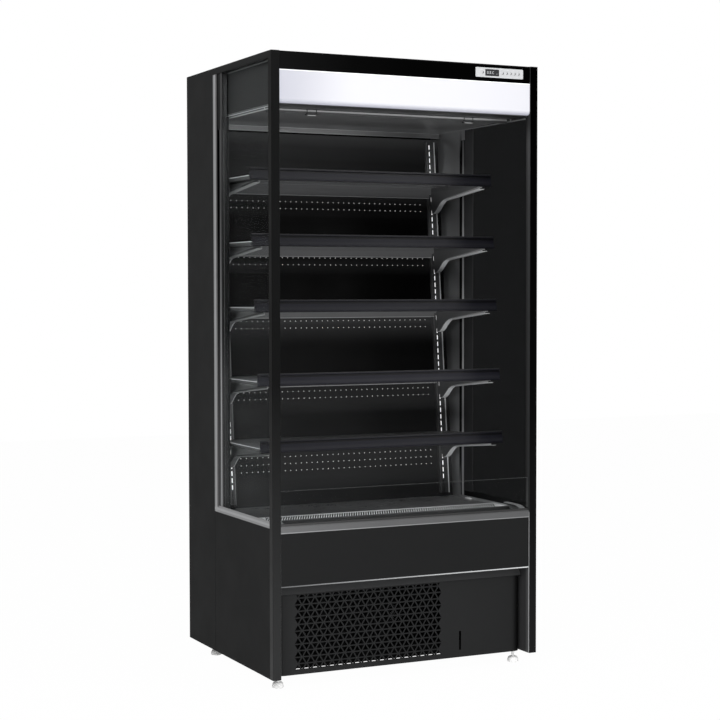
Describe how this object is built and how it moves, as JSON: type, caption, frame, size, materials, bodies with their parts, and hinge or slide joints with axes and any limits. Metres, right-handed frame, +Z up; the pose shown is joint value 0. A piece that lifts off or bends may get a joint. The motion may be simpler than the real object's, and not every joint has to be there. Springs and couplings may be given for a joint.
{
  "type": "open multideck display fridge",
  "caption": "Upright open-front refrigerated display cabinet with hooked shelves, glazed end walls, a lit canopy with controller and night blind, and a kick panel with triangular perforations.",
  "frame": {"origin": "on the floor, below the centre of the cabinet's plan", "axes": "+Z up, +Y towards the back, so the open front faces -Y, and +X to the right as seen from the front"},
  "size_m": [0.98, 0.77, 2.04],
  "materials": {
    "body_black": "satin black powder coat",
    "interior_grey": "dark grey satin paint",
    "shelf_grey": "grey metallic paint, semi gloss",
    "base_grey": "galvanised grey",
    "trim_grey": "brushed, satin",
    "gasket_black": "matte",
    "glass_clear": "clear",
    "glass_dark": "smoked, polished",
    "price_strip": "blue-black extruded plastic",
    "lit_white": "opal white, lit from behind",
    "blind_cloth": "woven grey",
    "controller_white": "moulded white, fine grain",
    "display_dark": "smoked window",
    "foot_white": "moulded white",
    "machine_black": "black enamel",
    "coil_metal": "bare fins"
  },
  "bodies": {
    "cabinet": {"front_post_left": "body_black", "front_post_right": "body_black", "side_panel_left": "body_black", "side_panel_right": "body_black", "window_trim_left": "trim_grey", "window_trim_right": "trim_grey", "window_gasket_left": "gasket_black", "window_gasket_right": "gasket_black", "glazing_channel_left": "trim_grey", "glazing_channel_right": "trim_grey", "side_glass_left": "glass_clear", "side_glass_right": "glass_dark", "roof_panel": "body_black", "back_wall": "body_black", "base_tank": "interior_grey", "rear_duct_panel": "interior_grey", "upright_left": "shelf_grey", "upright_right": "shelf_grey", "fascia": "body_black", "light_panel": "lit_white", "canopy_ceiling": "interior_grey", "lamp_strip": "lit_white", "blind_cloth": "blind_cloth", "controller_bezel": "controller_white", "controller_display": "display_dark", "front_ledge": "trim_grey", "front_riser": "glass_clear", "front_panel": "body_black", "base_frame": "base_grey", "compressor": "machine_black", "condenser": "coil_metal", "drip_tray": "base_grey", "evaporator": "coil_metal"},
    "blind_pull": {"blind_bar": "trim_grey"},
    "blind_tube": {"blind_roller": "trim_grey"},
    "shelf_one": {"shelf_1": "shelf_grey", "price_strip_1": "price_strip"},
    "shelf_two": {"shelf_2": "shelf_grey", "price_strip_2": "price_strip"},
    "shelf_three": {"shelf_3": "shelf_grey", "price_strip_3": "price_strip"},
    "shelf_four": {"shelf_4": "shelf_grey", "price_strip_4": "price_strip"},
    "shelf_five": {"shelf_5": "shelf_grey", "price_strip_5": "price_strip"},
    "deck": {"deck_pan": "shelf_grey"},
    "air_grille": {"return_air_grille": "trim_grey"},
    "kick": {"kick_panel": "body_black"},
    "fan_condenser": {"condenser_fan": "machine_black"},
    "fan_evaporator": {"evaporator_fan": "machine_black"},
    "button_power": {"key_power": "controller_white"},
    "button_1": {"key_1": "controller_white"},
    "button_2": {"key_2": "controller_white"},
    "button_3": {"key_3": "controller_white"},
    "button_4": {"key_4": "controller_white"},
    "button_5": {"key_5": "controller_white"},
    "foot_fl": {"foot_front_left": "foot_white"},
    "foot_fr": {"foot_front_right": "foot_white"},
    "foot_rl": {"foot_rear_left": "foot_white"},
    "foot_rr": {"foot_rear_right": "foot_white"}
  },
  "joints": [
    {"name": "blind_draw", "type": "slide", "parent": "cabinet", "child": "blind_pull", "axis": [0, 0, -1], "range_m": [0, 1.28], "stiffness_N_per_m": 4, "springref_m": -2.5, "deforming": ["blind_cloth"]},
    {"name": "blind_wind", "type": "hinge", "parent": "cabinet", "child": "blind_tube", "pos_m": [0, -0.2197, 1.93], "axis": [1, 0, 0], "range_deg": [0, 2940]},
    {"name": "shelf_one_lift", "type": "slide", "parent": "cabinet", "child": "shelf_one", "axis": [0, 0.0929, 0.9957], "range_m": [0, 0.009]},
    {"name": "shelf_two_lift", "type": "slide", "parent": "cabinet", "child": "shelf_two", "axis": [0, 0.0929, 0.9957], "range_m": [0, 0.009]},
    {"name": "shelf_three_lift", "type": "slide", "parent": "cabinet", "child": "shelf_three", "axis": [0, 0.0929, 0.9957], "range_m": [0, 0.009]},
    {"name": "shelf_four_lift", "type": "slide", "parent": "cabinet", "child": "shelf_four", "axis": [0, 0.0929, 0.9957], "range_m": [0, 0.009]},
    {"name": "shelf_five_lift", "type": "slide", "parent": "cabinet", "child": "shelf_five", "axis": [0, 0.0929, 0.9957], "range_m": [0, 0.009]},
    {"name": "deck_lift", "type": "slide", "parent": "cabinet", "child": "deck", "axis": [0, 0, 1], "range_m": [0, 0.06]},
    {"name": "grille_lift", "type": "slide", "parent": "cabinet", "child": "air_grille", "axis": [0, 0, 1], "range_m": [0, 0.03]},
    {"name": "kick_pull", "type": "slide", "parent": "cabinet", "child": "kick", "axis": [0, -1, 0], "range_m": [0, 0.12]},
    {"name": "condenser_fan_spin", "type": "hinge", "parent": "cabinet", "child": "fan_condenser", "pos_m": [-0.185, -0.186, 0.1928], "axis": [0, 1, 0], "continuous": true},
    {"name": "evaporator_fan_spin", "type": "hinge", "parent": "cabinet", "child": "fan_evaporator", "pos_m": [0, -0.0533, 0.44475], "axis": [0, 1, 0], "continuous": true},
    {"name": "press_power", "type": "slide", "parent": "cabinet", "child": "button_power", "axis": [0, 1, 0], "range_m": [0, 0.0008], "stiffness_N_per_m": 1500, "springref_m": -0.0006},
    {"name": "press_1", "type": "slide", "parent": "cabinet", "child": "button_1", "axis": [0, 1, 0], "range_m": [0, 0.0008], "stiffness_N_per_m": 1500, "springref_m": -0.0006},
    {"name": "press_2", "type": "slide", "parent": "cabinet", "child": "button_2", "axis": [0, 1, 0], "range_m": [0, 0.0008], "stiffness_N_per_m": 1500, "springref_m": -0.0006},
    {"name": "press_3", "type": "slide", "parent": "cabinet", "child": "button_3", "axis": [0, 1, 0], "range_m": [0, 0.0008], "stiffness_N_per_m": 1500, "springref_m": -0.0006},
    {"name": "press_4", "type": "slide", "parent": "cabinet", "child": "button_4", "axis": [0, 1, 0], "range_m": [0, 0.0008], "stiffness_N_per_m": 1500, "springref_m": -0.0006},
    {"name": "press_5", "type": "slide", "parent": "cabinet", "child": "button_5", "axis": [0, 1, 0], "range_m": [0, 0.0008], "stiffness_N_per_m": 1500, "springref_m": -0.0006},
    {"name": "foot_turn_fl", "type": "hinge", "parent": "cabinet", "child": "foot_fl", "pos_m": [-0.442, -0.309, 0.02], "axis": [0, 0, 1], "continuous": true},
    {"name": "foot_turn_fr", "type": "hinge", "parent": "cabinet", "child": "foot_fr", "pos_m": [0.442, -0.309, 0.02], "axis": [0, 0, 1], "continuous": true},
    {"name": "foot_turn_rl", "type": "hinge", "parent": "cabinet", "child": "foot_rl", "pos_m": [-0.442, 0.245, 0.02], "axis": [0, 0, 1], "continuous": true},
    {"name": "foot_turn_rr", "type": "hinge", "parent": "cabinet", "child": "foot_rr", "pos_m": [0.442, 0.245, 0.02], "axis": [0, 0, 1], "continuous": true}
  ],
  "couplings": [
    {"joint": "blind_wind", "follows": "blind_draw", "rad_per_m": 40}
  ]
}
